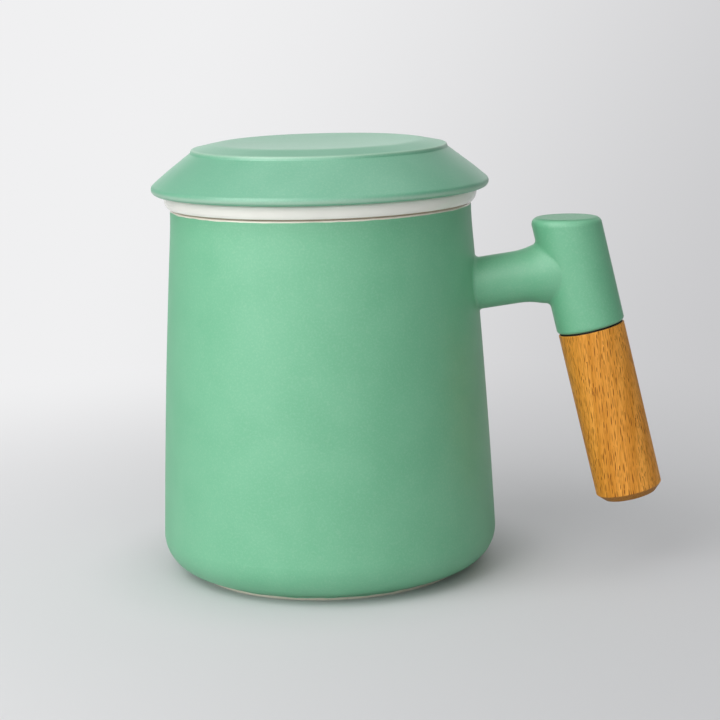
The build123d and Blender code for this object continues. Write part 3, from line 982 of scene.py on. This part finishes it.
def turned_metal(name, colour, roughness):
    """Bolt and insert: bright metal with the fine round lines of a lathe or a thread roll."""
    material, node, place = new_material(name)
    line_width = 0.12 * MM
    drawn = node(VECTOR_MATH, [along_grip(node, place), (0.05, 0.05, 1)], operation="MULTIPLY")[0]
    lines = node(NOISE, {"Vector": drawn, "Scale": 1 / line_width, "Detail": 1})[0]
    bright, worn = linear(colour), shaded(linear(colour), 0.86, 0.86, 0.86)
    tint = node(MIX, {0: lines, 6: bright, 7: worn}, **RGBA)[2]
    gloss = (roughness - 0.05, roughness + 0.08)
    finish = node(RANGE, [lines, *NOISE_SPAN, *gloss], **SMOOTH)[0]
    bump = node(BUMP, {"Height": lines, "Distance": 0.004 * MM})[0]
    close_material(node, tint, finish, bump, {"Metallic": 1.0})
    return material


def set_cement():
    """Socket cement: hardened two-part cement, chalky and a little pitted."""
    greys, chalky = ("#B3AC9E", "#CCC6B8"), (0.8, 0.95)
    grit, relief = 0.8 * MM, 0.05 * MM
    return even_finish("set_cement", grit, 3, greys, chalky, relief, {})


class TEAMUG_OT_fixing(Operator):
    """Thread the hanger bolt, knurl its insert and finish the cement round it"""

    bl_idname = "teamug.fixing"
    bl_label = "Grip's fixing"

    def execute(self, context):
        fixing = context.scene.teamug_fixing
        bolt_sizes = {
            "Segments": 48,
            **sizes_from(fixing, "machine_pitch", "wood_pitch"),
            "Deepest": 0.6 * MM,
            "Core": fixing.bolt_radius - SKIN,
            **AT_THE_JOINT,
            "Material": turned_metal("rolled_stainless_steel", "#C9C8C4", 0.28),
        }
        bolt, steel = bolt_profile(fixing), "stainless_steel"
        make_piece("threaded_bolt", bolt, threaded, bolt_sizes, "mug", "hanger_bolt")
        insert_sizes = {
            "Segments": 192,
            **sizes_from(fixing, "knurl_ridges", "knurl_depth"),
            "Ridge pitch": 1.2 * MM,
            "Core": fixing.insert_radius - SKIN,
            **AT_THE_JOINT,
            "Material": turned_metal("turned_brass", "#D9B568", 0.3),
        }
        insert, stands_for = insert_profile(fixing), "threaded_insert"
        make_piece("knurled_insert", insert, knurled, insert_sizes, "mug", stands_for)
        paint("socket_cement", set_cement())
        return {"FINISHED"}


# ------------------------------------------------------------------ stage


class StudioSettings(PropertyGroup):
    lens: setting(FloatProperty, "Lens", "Focal length on a 36 mm sensor", 102.74, unit="CAMERA")
    camera_distance: Length("Camera distance", "Mug's axis to the camera, level", 0.53465)
    camera_height: Length("Camera height", "Camera above the table", 0.1544)
    camera_azimuth: Angle("Camera azimuth", "Camera's place, from -Y towards +X", radians(8.35))
    camera_heading: Angle("Camera heading", "Where the camera looks, left of +Y", radians(7.365))
    camera_pitch: Angle("Camera pitch", "How far the camera looks down", radians(10.54))
    camera_roll: Angle("Camera roll", "Camera's roll about its view", radians(-1.57))
    paper: Colour("Paper", "Pale paper under the mug", linear("#D3D4D6"))
    bright: Colour("Backdrop, bright", "Far paper on the key light's side", linear("#F0F0F1"))
    dim: Colour("Backdrop, dim", "Far paper away from the key light", linear("#C8C8CA"))
    ambient: Factor("Ambient", "Strength of the even light of the room", 0.07)


# Each softbox: its name, azimuth and elevation in degrees, distance and size in metres, and
# power in watts. Azimuth is from -Y towards +X. They all point at the mug's axis.
SOFTBOXES = (
    ("key", -42, 34, 1.1, (1.1, 1.2), 13.2),
    ("fill", 18, 25, 1.3, (0.8, 0.8), 3.8),
    ("overhead", 0, 88, 1.2, (1.4, 1.4), 4.0),
    ("rim", 140, 50, 1.3, (1.0, 1.0), 0.7),
    ("back", 180, 14, 1.5, (1.6, 0.5), 1.45),
)
SOFTBOX_TARGET = Vector((0, 0, 0.05))

# Distances from the mug's axis between which the paper stops taking light and shadow, and
# those between which its even tone comes up from a share of 0.4 to all of it. That even tone
# is a glow, and near the mug it lightens the mug's shadow on the paper: painted light.
CONTACT_ENDS = (0.034, 0.07)
TONE_COMES_UP = (0.045, 0.3, 0.4, 1)


def add_camera(studio):
    data = bpy.data.cameras.new("camera")
    data.sensor_width = 36
    data.lens = studio.lens
    camera = link_object("camera", data)
    away, azimuth = studio.camera_distance, studio.camera_azimuth
    place = Matrix.Translation((away * sin(azimuth), -away * cos(azimuth), studio.camera_height))
    heading = Matrix.Rotation(studio.camera_heading, 4, "Z")
    pitch = Matrix.Rotation(pi / 2 - studio.camera_pitch, 4, "X")
    roll = Matrix.Rotation(studio.camera_roll, 4, "Z")
    camera.matrix_world = place @ heading @ pitch @ roll
    bpy.context.scene.camera = camera


def add_softbox(name, azimuth, elevation, distance, size, power):
    data = bpy.data.lights.new(name, "AREA")
    data.shape = "RECTANGLE"
    data.size, data.size_y = size
    data.energy = power
    light = link_object(name, data)
    a, e = radians(azimuth), radians(elevation)
    direction = Vector((sin(a) * cos(e), -cos(a) * cos(e), sin(e)))
    light.location = SOFTBOX_TARGET + direction * distance
    light.rotation_euler = direction.to_track_quat("Z", "Y").to_euler()


def seen_directly(node, place):
    """1 for a ray from the camera or through glass, and 0 for a ray that lights things.

    A glossy ray sees the pale backdrop behind the mug, and little of it on the other sides,
    where a studio is dim."""
    path = node("ShaderNodeLightPath")
    towards = node(VECTOR_MATH, [place], operation="NORMALIZE")[0]
    behind = node(RANGE, [node(SPLIT, [towards])[1], 0.6, 0.95, 0.1, 1], **SMOOTH)[0]
    glossy = node(MATH, [path["Is Glossy Ray"], behind], operation="MULTIPLY")[0]
    straight = [path["Is Camera Ray"], path["Is Transmission Ray"]]
    direct = node(MATH, straight, operation="MAXIMUM")[0]
    return node(MATH, [direct, glossy], operation="MAXIMUM")[0]


def backdrop_colour(node, place, studio, even_within=0.0):
    """Pale paper that is a little brighter on the key light's side.

    Its tone turns with the direction from the mug, and evenly across the paper near it."""
    length = node(VECTOR_MATH, [place], operation="LENGTH")["Value"]
    reach = node(MATH, [length, even_within], operation="ADD")[0]
    side = node(MATH, [node(SPLIT, [place])[0], reach], operation="DIVIDE")[0]
    dim = node(RANGE, [side, -0.22, 0.2], **SMOOTH)[0]
    return node(MIX, {0: dim, 6: studio.bright, 7: studio.dim}, **RGBA)[2]


def backdrop_paper(studio):
    """Smooth matte paper. Near the mug it takes light and shadow, though a share of its even
    pale tone glows over that shadow and lightens it as painted light. Far away, where the
    softboxes don't reach, it is seen at that even pale tone alone."""
    material, node, place = new_material("backdrop_paper")
    near = {"Base Color": studio.paper, "Roughness": 0.85, "Specular IOR Level": 0.25}
    shader = node("ShaderNodeBsdfPrincipled", near)[0]
    length = node(VECTOR_MATH, [place], operation="LENGTH")["Value"]
    clear = node(RANGE, [length, *CONTACT_ENDS], **SMOOTH)[0]
    fade = node(RANGE, [length, *TONE_COMES_UP], **SMOOTH)[0]
    far = node(MATH, [clear, fade], operation="MULTIPLY")[0]
    seen = node(MATH, [far, seen_directly(node, place)], operation="MULTIPLY")[0]
    tone = backdrop_colour(node, place, studio, even_within=0.4)
    glow = node("ShaderNodeEmission", {"Color": tone})[0]
    mixed = node("ShaderNodeMixShader", [seen, shader, glow])[0]
    node("ShaderNodeOutputMaterial", [mixed])
    return material


def add_floor(studio):
    """Paper that runs to the horizon."""
    reach = 30.0
    corners = [(-reach, -reach, 0), (reach, -reach, 0), (reach, reach, 0), (-reach, reach, 0)]
    mesh = bpy.data.meshes.new("paper")
    mesh.from_pydata(corners, [], [(0, 1, 2, 3)])
    mesh.materials.append(backdrop_paper(studio))
    link_object("paper", mesh)


def add_world(studio):
    """Even light from all round, and beyond the paper's horizon the same pale tone."""
    world = bpy.data.worlds.new("studio")
    world.use_nodes = True
    world.node_tree.nodes.clear()
    node = partial(add_node, world.node_tree)
    place = node("ShaderNodeTexCoord")["Generated"]
    light = node("ShaderNodeBackground", [(1, 1, 1, 1), studio.ambient])[0]
    pale = node("ShaderNodeBackground", [backdrop_colour(node, place, studio)])[0]
    seen = node("ShaderNodeMixShader", [seen_directly(node, place), light, pale])[0]
    node("ShaderNodeOutputWorld", [seen])
    bpy.context.scene.world = world


class TEAMUG_OT_stage(Operator):
    """Lay the paper and set up the soft lights and the camera"""

    bl_idname = "teamug.stage"
    bl_label = "Stage"

    def execute(self, context):
        studio = context.scene.teamug_studio
        add_camera(studio)
        add_floor(studio)
        add_world(studio)
        for softbox in SOFTBOXES:
            add_softbox(*softbox)
        context.scene.view_settings.view_transform = "Standard"
        return {"FINISHED"}


# ------------------------------------------------------------------ add-on

SETTINGS = {
    "teamug_glaze": GlazeSettings,
    "teamug_lid": LidSettings,
    "teamug_infuser": InfuserSettings,
    "teamug_grip": GripSettings,
    "teamug_fixing": FixingSettings,
    "teamug_studio": StudioSettings,
}

STEPS = (
    TEAMUG_OT_mug,
    TEAMUG_OT_lid,
    TEAMUG_OT_infuser,
    TEAMUG_OT_grip,
    TEAMUG_OT_fixing,
    TEAMUG_OT_stage,
)


class TEAMUG_PT_panel(Panel):
    """Lists the steps that dress the mug"""

    bl_idname = "TEAMUG_PT_panel"
    bl_label = "Tea Mug"
    bl_space_type = "VIEW_3D"
    bl_region_type = "UI"
    bl_category = "Tea Mug"

    def draw(self, context):
        for step in STEPS:
            self.layout.operator(step.bl_idname)


def register():
    for cls in (*SETTINGS.values(), *STEPS, TEAMUG_PT_panel):
        bpy.utils.register_class(cls)
    for name, cls in SETTINGS.items():
        setattr(bpy.types.Scene, name, PointerProperty(type=cls))


def unregister():
    for name in SETTINGS:
        delattr(bpy.types.Scene, name)
    for cls in (TEAMUG_PT_panel, *reversed(STEPS), *reversed(SETTINGS.values())):
        bpy.utils.unregister_class(cls)


def main():
    register()
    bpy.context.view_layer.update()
    bpy.ops.teamug.mug()
    bpy.ops.teamug.lid()
    bpy.ops.teamug.infuser()
    bpy.ops.teamug.grip()
    bpy.ops.teamug.fixing()
    bpy.ops.teamug.stage()


if __name__ == "__main__":
    main()
